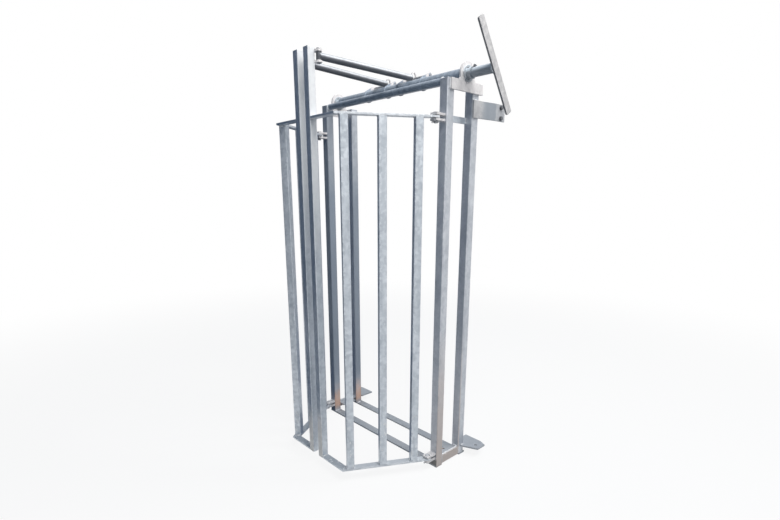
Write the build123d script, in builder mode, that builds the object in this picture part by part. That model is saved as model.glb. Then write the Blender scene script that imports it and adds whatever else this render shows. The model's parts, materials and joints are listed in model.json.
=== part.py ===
from build123d import *
import math
import os

os.makedirs("parts", exist_ok=True)

# Gate for a cattle crush: two square-tube post pairs, two angled wings and a lever over the top.
# Millimetres, +X across the gate, +Y out through the back, +Z up.
# The origin is in the middle of the front floor bar's underside.

# seats and running clearances
seat = 0.3
pin_clearance = 0.5
half = 0.5
right_angle = 90.0
axis_x = (0.0, right_angle, 0.0)

# frame
post_size = 50.0
post_wall = 4.0
post_radius = 5.0
frame_width = 1014.0
pair_depth = 246.0
post_top = 2063.0
floor_thickness = 10.0
floor_width = 50.0
beam_diameter = 34.0
beam_wall = 3.5
beam_rise = 8.0
rear_floor_set = 10.0

outer_x = frame_width * half
inner_x = outer_x - post_size
post_x = outer_x - post_size * half
front_y = -post_size * half
front_back_y = post_size * half
back_y = front_y + pair_depth
rear_front_y = back_y - post_size
rear_y = back_y - post_size * half
beam_z = post_top - beam_diameter * half + beam_rise
rear_floor_y = rear_y + rear_floor_set

# plates and straps of each post pair
flat_thickness = 10.0
plate_height = 50.0
plate_front_set = 16.0
plate_back_set = 16.0
ear_radius = 55.0
ear_fillet = 14.0
strap_height = 30.0
strap_drop = 186.0
base_strap_height = 50.0
base_plate_reach = 87.0
base_plate_depth = 108.0
base_neck_reach = 43.0
base_hole_reach = 46.0
base_hole_set = 63.0
bolt_hole_diameter = 18.0
foot_inner_reach = 58.0
foot_outer_reach = 96.0
foot_depth = 101.0
foot_side_set = 16.0
foot_root_set = 26.0
foot_cut_x = 44.0
foot_cut_y = 16.0
foot_hole_reach = 61.0
foot_hole_set = 41.0

plate_y0 = front_y + plate_front_set
plate_y1 = back_y + plate_back_set
plate_x0 = outer_x + seat
plate_x1 = plate_x0 + flat_thickness
strap_z = post_top - strap_drop
base_top = floor_thickness + base_strap_height
base_plate_inner = outer_x - base_plate_reach
base_plate_back = front_back_y + base_plate_depth
base_neck_inner = outer_x - base_neck_reach
base_hole_x = outer_x - base_hole_reach
base_hole_y = front_back_y + base_hole_set
foot_inner = outer_x - foot_inner_reach
foot_outer = outer_x + foot_outer_reach
foot_back = back_y + foot_depth
foot_side_front = back_y + foot_side_set
foot_root = back_y - foot_root_set
foot_hole_x = outer_x + foot_hole_reach
foot_hole_y = back_y + foot_hole_set

# side bracket on the right rear post
bracket_drop = 159.0
bracket_height = 83.0
bracket_thickness = 8.0
bracket_flat_set = 17.0
bracket_joggle_length = 107.0
bracket_joggle = 14.0
bracket_tip_length = 79.0
bracket_chamfer = 14.0
bracket_bolt_hole = 14.0
bracket_bolt_set = 38.0
bracket_bolt_inset = 15.0

bracket_bottom = post_top - bracket_drop
bracket_flat_end = back_y + bracket_flat_set
bracket_joggle_end = bracket_flat_end + bracket_joggle_length
bracket_end = bracket_joggle_end + bracket_tip_length
bracket_bolt_y = bracket_end - bracket_bolt_set

# lever shaft
shaft_set = 14.0
shaft_rise = 32.0
shaft_diameter = 60.0
shaft_wall = 5.0
stub_diameter = 45.0
stub_wall = 4.0
hub_diameter = 54.0
hub_length = 30.0
hub_washer_diameter = 76.0
hub_washer_thickness = 5.0
stub_left_reach = 20.0
stub_grip = 40.0
handle_reach = 160.0
handle_length = 450.0
handle_width = 40.0
handle_round = 9.0
handle_tilt = 35.5
crank_radius = 72.0
crank_angle = 45.0
crank_inner_x = 51.0
crank_outer_x = 221.0
crank_thickness = 8.0
crank_ring_radius = 34.0
crank_end_radius = 15.0
rod_diameter = 14.0
rod_overhang = 8.0

shaft_y = (front_y + back_y) * half + shaft_set
shaft_z = post_top + shaft_rise
handle_x = outer_x + handle_reach
rod_y = shaft_y + crank_radius * math.cos(math.radians(crank_angle))
rod_z = shaft_z + crank_radius * math.sin(math.radians(crank_angle))
rod_rise = shaft_z + crank_radius - rod_z
slot_z = rod_z + rod_rise * half

# wings
pin_inset = 4.0
pin_reach = 46.0
wing_angle = 30.0
wing_length = 489.0
rail_width = 40.0
rail_bottom_z = 64.0
rail_drop = 182.0
bar_first_set = 26.0
bar_last_set = 104.0
bar_middle_share = 0.5041783
bar_size = 40.0
bar_wall = 3.0
bar_radius = 4.0
tall_size = 40.0
tall_wall = 4.0
tall_radius = 4.0
tall_over_link = 38.0
neck_gap = 48.0
cap_thickness = 4.0

pin_x = post_x - pin_inset
pin_y = front_y - pin_reach
rail_top_z = post_top - rail_drop
bar_last = wing_length - bar_last_set
bar_starts = (bar_first_set, bar_first_set + (bar_last - bar_first_set) * bar_middle_share, bar_last)
wing_dir = (math.sin(math.radians(wing_angle)), math.cos(math.radians(wing_angle)))
out_dir = (wing_dir[1], -wing_dir[0])
corner_x = pin_x - wing_length * wing_dir[0] + rail_width * half * out_dir[0]
corner_y = pin_y - wing_length * wing_dir[1] + rail_width * half * out_dir[1]
tall_x0 = neck_gap * half
tall_x1 = tall_x0 + tall_size
tall_y0 = corner_y
tall_y1 = corner_y + tall_size

# hinges
lug_width = 40.0
lug_tip = 18.0
lug_gap = 3.0
pin_diameter = 20.0
pin_head_diameter = 28.0
pin_head_height = 3.0
pin_tail = 11.0

# link ends on the tall tubes
clevis_side_set = 28.0
clevis_pin_set = 16.2
clevis_gap = 38.0
clevis_lug_radius = 16.0
clevis_root_inset = 2.0
clevis_root_width = 32.0
clevis_root_depth = 8.0
clevis_pin_diameter = 14.0
clevis_head_diameter = 22.0
clevis_head_height = 5.0

# links
link_diameter = 34.0
link_wall = 3.5
link_rise = 9.0
link_over_shaft = 54.0
link_rear_x = 102.0
front_eye_diameter = 26.0
front_eye_height = 34.0
rear_eye_thickness = 8.0
rear_slot_width = 22.0
rear_slot_margin = 1.5
rear_eye_wall = 6.5
rear_eye_shift = 0.8
rear_tail_length = 30.0
rear_tail_height = 23.4

link_rear_z = shaft_z + link_over_shaft
link_front_z = link_rear_z + link_rise
tall_top = link_front_z + tall_over_link
tall_x = (tall_x0 + tall_x1) * half
clevis_x = tall_x + clevis_side_set
clevis_y = tall_y1 + seat + clevis_pin_set
link_dx = link_rear_x - clevis_x
link_dy = rod_y - clevis_y
link_dz = link_rear_z - link_front_z
link_length = math.hypot(link_dx, link_dy)
rear_slot_height = rod_diameter + rod_rise + rear_slot_margin + rear_slot_margin
rear_eye_length = rear_slot_width + rear_eye_wall + rear_eye_wall
rear_eye_height = rear_slot_height + rear_eye_wall + rear_eye_wall


def block(x0, x1, y0, y1, z0, z1, mode=Mode.ADD):
    with Locations(((x0 + x1) * half, (y0 + y1) * half, (z0 + z1) * half)):
        Box(x1 - x0, y1 - y0, z1 - z0, mode=mode)


def save(piece, name):
    piece.part.label = name
    export_step(piece.part, f"parts/{name}.step")


def upright_tube(name, x, y, z0, z1, size, wall, radius, cap):
    with BuildPart() as tube:
        with BuildSketch(Plane.XY.offset(z0)):
            with Locations((x, y)):
                RectangleRounded(size, size, radius)
        extrude(amount=z1 - z0)
        with BuildSketch(Plane.XY.offset(z0)):
            with Locations((x, y)):
                RectangleRounded(size - wall - wall, size - wall - wall, radius * half)
        extrude(amount=z1 - z0 - cap, mode=Mode.SUBTRACT)
    save(tube, name)


def pipe(diameter, wall, x0, x1, y, z):
    with Locations(Location(((x0 + x1) * half, y, z), axis_x)):
        Cylinder(diameter * half, x1 - x0)
        Cylinder(diameter * half - wall, x1 - x0, mode=Mode.SUBTRACT)


def side_name(side):
    return "right" if side > 0 else "left"


def mirrored(points, side):
    return [(side * x, y) for x, y in points]


sides = (1, -1)

# posts on the floor bars
for side in sides:
    word = side_name(side)
    for place, y in (("front", 0.0), ("rear", rear_y)):
        upright_tube(f"{word}_{place}_post", side * post_x, y, floor_thickness, post_top,
                     post_size, post_wall, post_radius, post_wall)

for place, y in (("front", 0.0), ("rear", rear_floor_y)):
    with BuildPart() as floor_bar:
        block(-outer_x, outer_x, y - floor_width * half, y + floor_width * half, 0.0, floor_thickness)
    save(floor_bar, f"{place}_floor_bar")

# round beam between the front posts
with BuildPart() as top_beam:
    pipe(beam_diameter, beam_wall, -inner_x + seat, inner_x - seat, 0.0, beam_z)
save(top_beam, "top_beam")

# top plates with the shaft's ears, on the posts' outer faces
for side in sides:
    with BuildPart() as top_plate:
        with BuildSketch(Plane.YZ.offset(plate_x0)):
            with BuildLine():
                Polyline((plate_y0, post_top - plate_height), (plate_y1, post_top - plate_height),
                         (plate_y1, post_top), (plate_y0, post_top), close=True)
            make_face()
            with Locations((shaft_y, shaft_z)):
                Circle(ear_radius)
            with Locations((shaft_y, (shaft_z + post_top - plate_height * half) * half)):
                Rectangle(ear_radius + ear_radius, shaft_z - post_top + plate_height * half)
            fillet([v for v in vertices() if abs(abs(v.X - shaft_y) - ear_radius) < seat
                                         and abs(v.Y - post_top) < seat], ear_fillet)
            with Locations((shaft_y, shaft_z)):
                Circle(stub_diameter * half + pin_clearance, mode=Mode.SUBTRACT)
        extrude(amount=flat_thickness)
        if side < 0:
            mirror(about=Plane.YZ, mode=Mode.REPLACE)
    save(top_plate, f"{side_name(side)}_top_plate")

# straps between the posts of each pair
with BuildPart() as right_mid_strap:
    block(inner_x, inner_x + flat_thickness, front_back_y + seat, rear_front_y - seat,
          strap_z, strap_z + strap_height)
save(right_mid_strap, "right_mid_strap")

with BuildPart() as base_straps:
    for side in sides:
        x0, x1 = sorted((side * outer_x, side * (outer_x - flat_thickness)))
        block(x0, x1, front_back_y + seat, rear_front_y - seat, floor_thickness, base_top)
save(base_straps, "base_straps")

# bolt-down plates between the posts and behind the rear posts
plate_outer = outer_x - flat_thickness - seat
with BuildPart() as base_plates:
    for side in sides:
        with BuildSketch(Plane.XY.offset(base_top - flat_thickness)):
            with BuildLine():
                Polyline(*mirrored([
                    (base_plate_inner, front_back_y + seat), (plate_outer, front_back_y + seat),
                    (plate_outer, rear_front_y - seat), (base_neck_inner, rear_front_y - seat),
                    (base_neck_inner, base_plate_back), (base_plate_inner, base_plate_back)], side), close=True)
            make_face()
            with Locations((side * base_hole_x, base_hole_y)):
                Circle(bolt_hole_diameter * half, mode=Mode.SUBTRACT)
        extrude(amount=flat_thickness)
save(base_plates, "base_plates")

for side in sides:
    with BuildPart() as foot_plate:
        with BuildSketch(Plane.XY.offset(base_top - flat_thickness)):
            with BuildLine():
                Polyline(*mirrored([
                    (foot_inner, back_y + seat), (outer_x + seat, back_y + seat), (outer_x + seat, foot_root),
                    (foot_outer, foot_side_front), (foot_outer, foot_back - foot_cut_y),
                    (foot_outer - foot_cut_x, foot_back), (foot_inner, foot_back)], side), close=True)
            make_face()
            with Locations((side * foot_hole_x, foot_hole_y)):
                Circle(bolt_hole_diameter * half, mode=Mode.SUBTRACT)
        extrude(amount=flat_thickness)
    save(foot_plate, f"{side_name(side)}_foot_plate")

# joggled fixing bracket on the right rear post
bracket_x0 = outer_x + seat
with BuildPart() as side_bracket:
    with BuildSketch(Plane.XY.offset(bracket_bottom)):
        with BuildLine():
            Polyline(
                (bracket_x0, rear_front_y), (bracket_x0 + bracket_thickness, rear_front_y),
                (bracket_x0 + bracket_thickness, bracket_flat_end),
                (bracket_x0 + bracket_thickness + bracket_joggle, bracket_joggle_end),
                (bracket_x0 + bracket_thickness + bracket_joggle, bracket_end),
                (bracket_x0 + bracket_joggle, bracket_end), (bracket_x0 + bracket_joggle, bracket_joggle_end),
                (bracket_x0, bracket_flat_end), close=True)
        make_face()
    extrude(amount=bracket_height)
    chamfer(side_bracket.edges().filter_by(Axis.X).group_by(Axis.Y)[-1].group_by(Axis.Z)[-1], bracket_chamfer)
    bolt_rows = (bracket_bottom + bracket_bolt_inset, bracket_bottom + bracket_height - bracket_bolt_inset)
    for z in bolt_rows:
        with Locations(Location((bracket_x0 + bracket_joggle, bracket_bolt_y, z), axis_x)):
            Cylinder(bracket_bolt_hole * half, bracket_joggle + bracket_joggle, mode=Mode.SUBTRACT)
save(side_bracket, "side_bracket")

# hinge lugs and pins on the front posts
rail_levels = (rail_bottom_z, rail_top_z)
lug_offset = lug_gap + flat_thickness
with BuildPart() as hinge_lugs:
    for side in sides:
        for z in rail_levels:
            for low in (z - lug_offset, z + lug_offset):
                block(side * pin_x - lug_width * half, side * pin_x + lug_width * half,
                      pin_y - lug_tip, front_y - seat, low, low + flat_thickness)
                with Locations((side * pin_x, pin_y, low + flat_thickness * half)):
                    Cylinder(pin_diameter * half + seat, flat_thickness, mode=Mode.SUBTRACT)
save(hinge_lugs, "hinge_lugs")

with BuildPart() as hinge_pins:
    for side in sides:
        for z in rail_levels:
            pin_low = z - lug_offset - pin_tail
            pin_high = z + lug_offset + flat_thickness + seat
            with Locations((side * pin_x, pin_y, (pin_low + pin_high) * half)):
                Cylinder(pin_diameter * half, pin_high - pin_low)
            with Locations((side * pin_x, pin_y, pin_high + pin_head_height * half)):
                Cylinder(pin_head_diameter * half, pin_head_height)
save(hinge_pins, "hinge_pins")


def along(t, inward):
    return (corner_x + t * wing_dir[0] - inward * out_dir[0], corner_y + t * wing_dir[1] - inward * out_dir[1])


# each wing: flat rails, square-tube bars and the tall tube at the neck
corner_cut = rail_width * math.tan(math.radians((right_angle - wing_angle) * half))
for side in sides:
    word = side_name(side)
    for level, z in zip(("bottom", "top"), rail_levels):
        with BuildPart() as long_rail:
            with BuildSketch(Plane.XY.offset(z)):
                with BuildLine():
                    Polyline(*mirrored([along(0.0, 0.0), along(wing_length, 0.0), along(wing_length, rail_width),
                                        along(corner_cut, rail_width)], side), close=True)
                make_face()
                with Locations((side * pin_x, pin_y)):
                    Circle(rail_width * half)
                    Circle(pin_diameter * half + pin_clearance, mode=Mode.SUBTRACT)
            extrude(amount=flat_thickness)
        save(long_rail, f"{word}_{level}_rail")

        inner_corner = along(corner_cut, rail_width)
        with BuildPart() as return_rail:
            with BuildSketch(Plane.XY.offset(z)):
                with BuildLine():
                    Polyline(*mirrored([
                        (corner_x - seat, corner_y), (inner_corner[0] - seat, corner_y + rail_width),
                        (tall_x1 + seat, corner_y + rail_width), (tall_x1 + seat, corner_y)], side), close=True)
                make_face()
            extrude(amount=flat_thickness)
        save(return_rail, f"{word}_{level}_return")

    bar_low = rail_bottom_z + flat_thickness + seat
    bar_bore = bar_size - bar_wall - bar_wall
    with BuildPart() as wing_bars:
        for start in bar_starts:
            bar_x, bar_y = along(start + bar_size * half, bar_size * half)
            with BuildSketch(Plane.XY.offset(bar_low)):
                with Locations(Location((side * bar_x, bar_y), -side * wing_angle)):
                    RectangleRounded(bar_size, bar_size, bar_radius)
                    RectangleRounded(bar_bore, bar_bore, bar_radius * half, mode=Mode.SUBTRACT)
            extrude(amount=rail_top_z - seat - bar_low)
    save(wing_bars, f"{word}_wing_bars")

    upright_tube(f"{word}_tall_tube", side * tall_x, (tall_y0 + tall_y1) * half, rail_bottom_z, tall_top,
                 tall_size, tall_wall, tall_radius, cap_thickness)

    # clevis for the link
    lug_low = link_front_z - clevis_gap * half - flat_thickness
    lug_high = link_front_z + clevis_gap * half
    root_x = tall_x1 - clevis_root_inset - clevis_root_width * half
    with BuildPart() as link_lugs:
        for low in (lug_low, lug_high):
            with BuildSketch(Plane.XY.offset(low)):
                with Locations((side * root_x, tall_y1 + seat + clevis_root_depth * half)):
                    Rectangle(clevis_root_width, clevis_root_depth)
                with Locations((side * clevis_x, clevis_y)):
                    Circle(clevis_lug_radius)
                make_hull()
                with Locations((side * clevis_x, clevis_y)):
                    Circle(clevis_pin_diameter * half + seat, mode=Mode.SUBTRACT)
            extrude(amount=flat_thickness)
    save(link_lugs, f"{word}_link_lugs")

    pin_low = lug_low - clevis_head_height
    pin_high = lug_high + flat_thickness + seat
    with BuildPart() as link_pin:
        with Locations((side * clevis_x, clevis_y, (pin_low + pin_high) * half)):
            Cylinder(clevis_pin_diameter * half, pin_high - pin_low)
        with Locations((side * clevis_x, clevis_y, pin_high + clevis_head_height * half)):
            Cylinder(clevis_head_diameter * half, clevis_head_height)
    save(link_pin, f"{word}_link_pin")

    # link: front eye on the clevis pin, pipe, slotted rear eye round the crank rod
    with BuildPart() as front_eye:
        with Locations((side * clevis_x, clevis_y, link_front_z)):
            Cylinder(front_eye_diameter * half, front_eye_height)
            Cylinder(clevis_pin_diameter * half + pin_clearance, front_eye_height, mode=Mode.SUBTRACT)
    save(front_eye, f"{word}_link_front_eye")

    eye_start = link_length + rear_eye_shift - rear_eye_length * half
    link_line = Plane(origin=(side * clevis_x, clevis_y, link_front_z), x_dir=(link_dy, -side * link_dx, 0.0),
                      z_dir=(side * link_dx, link_dy, link_dz))
    with BuildPart() as link_pipe:
        with BuildSketch(link_line):
            Circle(link_diameter * half)
            Circle(link_diameter * half - link_wall, mode=Mode.SUBTRACT)
        extrude(amount=eye_start - seat)
        with Locations((side * clevis_x, clevis_y, link_front_z)):
            Cylinder(front_eye_diameter * half + seat, front_eye_height + front_eye_height, mode=Mode.SUBTRACT)
    save(link_pipe, f"{word}_link_pipe")

    eye_plane = Plane(origin=(side * clevis_x, clevis_y, link_rear_z), x_dir=(side * link_dx, link_dy, 0.0),
                      z_dir=(link_dy, -side * link_dx, 0.0))
    with BuildPart() as rear_eye:
        with BuildSketch(eye_plane):
            with Locations((link_length + rear_eye_shift, slot_z - link_rear_z)):
                SlotOverall(rear_eye_height, rear_eye_length, rotation=right_angle)
            with Locations((eye_start, 0.0)):
                Rectangle(rear_tail_length + rear_tail_length, rear_tail_height)
            with Locations((link_length + rear_eye_shift, slot_z - link_rear_z)):
                SlotOverall(rear_slot_height, rear_slot_width, rotation=right_angle, mode=Mode.SUBTRACT)
                Rectangle(rear_slot_width, rear_slot_height - rear_slot_width, mode=Mode.SUBTRACT)
        extrude(amount=rear_eye_thickness * half, both=True)
    save(rear_eye, f"{word}_link_rear_eye")

# lever: shaft, hubs, T handle, crank plates and the rods the links ride on
left_hub_x = -outer_x + seat
shaft_left = left_hub_x + hub_length
shaft_right = outer_x - seat
stub_left = -plate_x1 - stub_left_reach
with BuildPart() as lever_shaft:
    pipe(shaft_diameter, shaft_wall, shaft_left, shaft_right, shaft_y, shaft_z)
    for end in (shaft_left, shaft_right - stub_grip):
        with Locations(Location((end + stub_grip * half, shaft_y, shaft_z), axis_x)):
            Cylinder(shaft_diameter * half, stub_grip)
    pipe(stub_diameter, stub_wall, stub_left, shaft_left + stub_grip, shaft_y, shaft_z)
    pipe(stub_diameter, stub_wall, shaft_right - stub_grip, handle_x - seat, shaft_y, shaft_z)
save(lever_shaft, "lever_shaft")

for word, start in (("right", plate_x1 + seat), ("left", left_hub_x)):
    with BuildPart() as hub:
        with Locations(Location((start + hub_washer_thickness * half, shaft_y, shaft_z), axis_x)):
            Cylinder(hub_washer_diameter * half, hub_washer_thickness)
        with Locations(Location((start + (hub_length - seat) * half, shaft_y, shaft_z), axis_x)):
            Cylinder(hub_diameter * half, hub_length - seat)
            Cylinder(stub_diameter * half + seat, hub_length, mode=Mode.SUBTRACT)
    save(hub, f"{word}_hub")

with BuildPart() as handle_bar:
    with BuildSketch(Plane.YZ.offset(handle_x)):
        with Locations(Location((shaft_y, shaft_z), handle_tilt)):
            RectangleRounded(handle_width, handle_length, handle_round)
    extrude(amount=flat_thickness)
save(handle_bar, "handle_bar")

crank_stations = (crank_inner_x, crank_outer_x)
with BuildPart() as crank_plates:
    for side in sides:
        for x in crank_stations:
            with BuildSketch(Plane.YZ.offset(side * x - crank_thickness * half)):
                with Locations((shaft_y, shaft_z)):
                    Circle(crank_ring_radius)
                with Locations((rod_y, rod_z)):
                    Circle(crank_end_radius)
                make_hull()
                with Locations((shaft_y, shaft_z)):
                    Circle(shaft_diameter * half + seat, mode=Mode.SUBTRACT)
                with Locations((rod_y, rod_z)):
                    Circle(rod_diameter * half + seat, mode=Mode.SUBTRACT)
            extrude(amount=crank_thickness)
save(crank_plates, "crank_plates")

with BuildPart() as crank_rods:
    for side in sides:
        rod_x0, rod_x1 = sorted((side * (crank_inner_x - rod_overhang), side * (crank_outer_x + rod_overhang)))
        with Locations(Location(((rod_x0 + rod_x1) * half, rod_y, rod_z), axis_x)):
            Cylinder(rod_diameter * half, rod_x1 - rod_x0)
save(crank_rods, "crank_rods")
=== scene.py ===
# %% [markdown]
# # A galvanised cattle crush gate
# The gate is two pairs of square-tube posts, two angled wings with tall neck tubes, and a lever shaft
# across the top. The steelwork is already packed as a fixed frame in metres, +Z up, +X across the gate to
# the handle's side and +Y out through the back. This lesson dresses that frame: rounded steel edges, weld
# beads, bolts, and hot-dip zinc on every surface. Nothing here moves or resizes the steelwork.

# %% Load the frame
import json
import math

import bmesh
import bpy
from mathutils import Matrix, Vector

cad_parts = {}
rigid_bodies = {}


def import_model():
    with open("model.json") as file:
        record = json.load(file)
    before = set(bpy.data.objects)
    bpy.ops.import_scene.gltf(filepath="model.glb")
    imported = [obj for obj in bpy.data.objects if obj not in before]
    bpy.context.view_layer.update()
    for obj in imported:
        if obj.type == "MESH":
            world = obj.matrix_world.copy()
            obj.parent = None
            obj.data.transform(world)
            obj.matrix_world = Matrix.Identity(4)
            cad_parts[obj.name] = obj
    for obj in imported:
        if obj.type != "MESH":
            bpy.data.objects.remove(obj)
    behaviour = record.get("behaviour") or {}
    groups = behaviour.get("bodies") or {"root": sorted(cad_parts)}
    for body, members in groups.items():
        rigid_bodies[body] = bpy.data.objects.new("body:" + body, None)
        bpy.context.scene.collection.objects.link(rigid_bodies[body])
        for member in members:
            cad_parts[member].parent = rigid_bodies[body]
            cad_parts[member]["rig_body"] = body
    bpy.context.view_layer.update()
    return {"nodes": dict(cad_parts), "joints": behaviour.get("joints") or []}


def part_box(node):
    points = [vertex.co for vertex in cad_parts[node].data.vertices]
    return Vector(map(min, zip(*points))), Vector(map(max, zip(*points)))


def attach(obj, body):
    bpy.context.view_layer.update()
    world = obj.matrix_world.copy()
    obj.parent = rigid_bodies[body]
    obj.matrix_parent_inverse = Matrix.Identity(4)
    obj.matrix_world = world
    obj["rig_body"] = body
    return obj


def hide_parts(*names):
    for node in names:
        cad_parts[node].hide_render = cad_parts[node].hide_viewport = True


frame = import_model()
nodes = frame["nodes"]
scene = bpy.context.scene

# %% [markdown]
# ## The camera
# The viewing angle was worked out from the straight edges of the posts and rails. A camera can be aimed
# with a constraint, but plain angles are easier to read: the azimuth turns it round the gate and the
# elevation tips it down. The small shift only frames the gate as the picture does.

# %% Camera
camera_place = (2.04134, -1.84822, 1.52347)
camera_azimuth, camera_elevation = 47.16, 14.14
picture_width, focal_pixels = 780.0, 462.17
sensor_width = 36.0
shift_right, shift_up = 0.006, 0.0665

camera_data = bpy.data.cameras.new("gate_camera")
camera_data.sensor_width = sensor_width
camera_data.lens = sensor_width * focal_pixels / picture_width
camera_data.shift_x, camera_data.shift_y = shift_right, shift_up
camera = bpy.data.objects.new("gate_camera", camera_data)
camera.location = camera_place
camera.rotation_euler = (math.radians(90 - camera_elevation), 0, math.radians(camera_azimuth))
scene.collection.objects.link(camera)
scene.camera = camera
print("lens", round(camera_data.lens, 2), "mm")

# %% [markdown]
# ## Shader sums as plain Python
# Node trees are easier to follow when sums look like sums. One small class holds a socket: adding or
# multiplying it makes a Math node, and its method `node` makes any other node, with its settings set
# first and its sockets filled by values or links after. Two small functions after it make a new material
# and a new object.

# %% Socket class
class Wire:
    """An output socket that takes part in sums."""

    def __init__(self, tree, socket):
        self.tree = tree
        self.socket = socket

    def node(self, kind, settings, sockets, output=0):
        made = self.tree.nodes.new(kind)
        for name, value in settings.items():
            setattr(made, name, value)
        for name, value in sockets.items():
            if isinstance(value, Wire):
                self.tree.links.new(value.socket, made.inputs[name])
            else:
                made.inputs[name].default_value = value
        return Wire(self.tree, made.outputs[output])

    def maths(self, operation, first, second):
        return self.node("ShaderNodeMath", {"operation": operation}, {0: first, 1: second})

    def __add__(self, other):
        return self.maths("ADD", self, other)

    __radd__ = __add__

    def __sub__(self, other):
        return self.maths("SUBTRACT", self, other)

    def __rsub__(self, other):
        return self.maths("SUBTRACT", other, self)

    def __mul__(self, other):
        return self.maths("MULTIPLY", self, other)

    __rmul__ = __mul__

    def between(self, low, high):
        """0 at low and 1 at high, with a soft ramp. Low may be the greater of the two."""
        span = {"interpolation_type": "SMOOTHSTEP"}
        return self.node("ShaderNodeMapRange", span, {"Value": self, "From Min": low, "From Max": high})

    def blend(self, first, second):
        """The first colour where this value is 0, and the second where it is 1."""
        return self.node("ShaderNodeMix", {"data_type": "RGBA"}, {0: self, 6: first, 7: second}, 2)

    def stretched(self, scale):
        return self.node("ShaderNodeVectorMath", {"operation": "MULTIPLY"}, {0: self, 1: scale})

    def part(self, letter):
        return self.node("ShaderNodeSeparateXYZ", {}, {0: self}, letter)

    def noise(self, scale, detail=2.0):
        return self.node("ShaderNodeTexNoise", {}, {"Vector": self, "Scale": scale, "Detail": detail})


def feed(wire, socket):
    wire.tree.links.new(wire.socket, socket)


print("socket class ready")


# %% Materials and objects
def new_material(name):
    """A new material, its Principled shader, and its Object coordinates as a Wire."""
    material = bpy.data.materials.new(name)
    material.use_nodes = True
    tree = material.node_tree
    place = Wire(tree, tree.nodes.new("ShaderNodeTexCoord").outputs["Object"])
    return material, tree.nodes["Principled BSDF"], place


def new_object(name, shape, material):
    """Makes a bmesh an object at the origin of the scene."""
    mesh = bpy.data.meshes.new(name)
    shape.to_mesh(mesh)
    shape.free()
    mesh.materials.append(material)
    thing = bpy.data.objects.new(name, mesh)
    scene.collection.objects.link(thing)
    return thing


print("makers of materials and objects ready")

# %% [markdown]
# ## The studio
# A pale floor that fades into a white surround keeps the gate's soft shadow and shows no horizon. The
# world is white where a camera, a reflection or a clear thing looks at it, and a dim blue for everything
# else, so the metal mirrors the same white that stands behind it and the shaded faces stay cool.

# %% World
sky_blue, white = (0.56, 0.77, 1.0, 1), (1, 1, 1, 1)
sky_strength = 0.2


def seen_directly(tree):
    """1 for rays from the camera, from a gloss or through glass, else 0."""
    path = tree.nodes.new("ShaderNodeLightPath")
    looks = [Wire(tree, path.outputs[f"Is {kind} Ray"]) for kind in ("Camera", "Glossy", "Transmission")]
    return (looks[0] + looks[1] + looks[2]).between(0, 1)


world = bpy.data.worlds.new("studio_world")
world.use_nodes = True
scene.world = world
scene.view_settings.view_transform = "Standard"
background = world.node_tree.nodes["Background"]
seen = seen_directly(world.node_tree)
feed(seen.blend(sky_blue, white), background.inputs["Color"])
feed(seen * (1 - sky_strength) + sky_strength, background.inputs["Strength"])
print("world", world.name, "sky", sky_strength)

# %% Floor
floor_reach, floor_sides = 14.0, 64
floor_fade, floor_paleness, floor_roughness = (2.2, 6.0), 0.88, 0.8
floor_grey, floor_white = (0.16, 0.18, 0.2, 1), (0.85, 0.86, 0.88, 1)

floor_material, floor_shader, floor_place = new_material("studio_floor")
floor_shader.inputs["Roughness"].default_value = floor_roughness
floor_shader.inputs["Specular IOR Level"].default_value = 0.0
floor_tree = floor_material.node_tree
floor_seen = seen_directly(floor_tree)
feed(floor_seen.blend(floor_grey, floor_white), floor_shader.inputs["Base Color"])
distance = floor_place.node("ShaderNodeVectorMath", {"operation": "LENGTH"}, {0: floor_place}, "Value")
pale = distance.between(*floor_fade) * (1 - floor_paleness) + floor_paleness
glow = pale.node("ShaderNodeEmission", {}, {"Color": white, "Strength": 1.0})
matt = Wire(floor_tree, floor_shader.outputs[0])
floor_mix = pale.node("ShaderNodeMixShader", {}, {0: pale * floor_seen, 1: matt, 2: glow})
feed(floor_mix, floor_tree.nodes["Material Output"].inputs["Surface"])

floor_shape = bmesh.new()
bmesh.ops.create_circle(floor_shape, cap_ends=True, segments=floor_sides, radius=floor_reach)
floor = new_object("studio_floor", floor_shape, floor_material)
print("floor", floor_reach, "m round")

# %% [markdown]
# ## The lamps
# One broad lamp, high on the handle's side, makes the side faces light and leaves the front faces in cool
# shade, as open sky does. A second one reaches the faces further back, and a weak one behind the gate
# keeps its far side from going black. Square lamps are chosen over a sun, because their size softens the
# shadows.

# %% Lamps
gate_middle = Vector((0, -0.1, 1.2))
warm_white, cool_white = (1.0, 0.985, 0.965), (0.93, 0.97, 1.0)


def soft_lamp(name, place, size, power, colour):
    """A square lamp that looks at the middle of the gate."""
    lamp_data = bpy.data.lights.new(name, "AREA")
    lamp_data.size, lamp_data.energy, lamp_data.color = size, power, colour
    lamp = bpy.data.objects.new(name, lamp_data)
    lamp.location = place
    lamp.rotation_euler = (gate_middle - Vector(place)).to_track_quat("-Z", "Y").to_euler()
    scene.collection.objects.link(lamp)


soft_lamp("side_lamp", place=(2.6, -0.7, 5.1), size=2.4, power=165, colour=warm_white)
soft_lamp("far_side_lamp", place=(2.3, 2.5, 5.4), size=1.6, power=100, colour=warm_white)
soft_lamp("back_lamp", place=(-2.6, 3.2, 3.4), size=2.4, power=22, colour=cool_white)

# %% [markdown]
# ## Shade cards
# Bright metal photographed in an all-white room loses its form, because every face mirrors white. A
# studio stands dark cards beside it and lays dark cloths by its feet, so the faces that look that way
# mirror shade. One tall blue-grey card curves round the left of the gate and a narrow one stands behind
# it. Three flat cloths lie behind the gate, to its left and left of its front. Each is a short outline
# spun part of the way round an upright axis. They are seen only in reflections and throw no shadow.

# %% Shade tools
card_material, card_shader, _ = new_material("shade_card")
card_shader.inputs["Base Color"].default_value = (0.045, 0.092, 0.19, 1)
card_shader.inputs["Roughness"].default_value = 1.0
card_steps = 32


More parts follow.
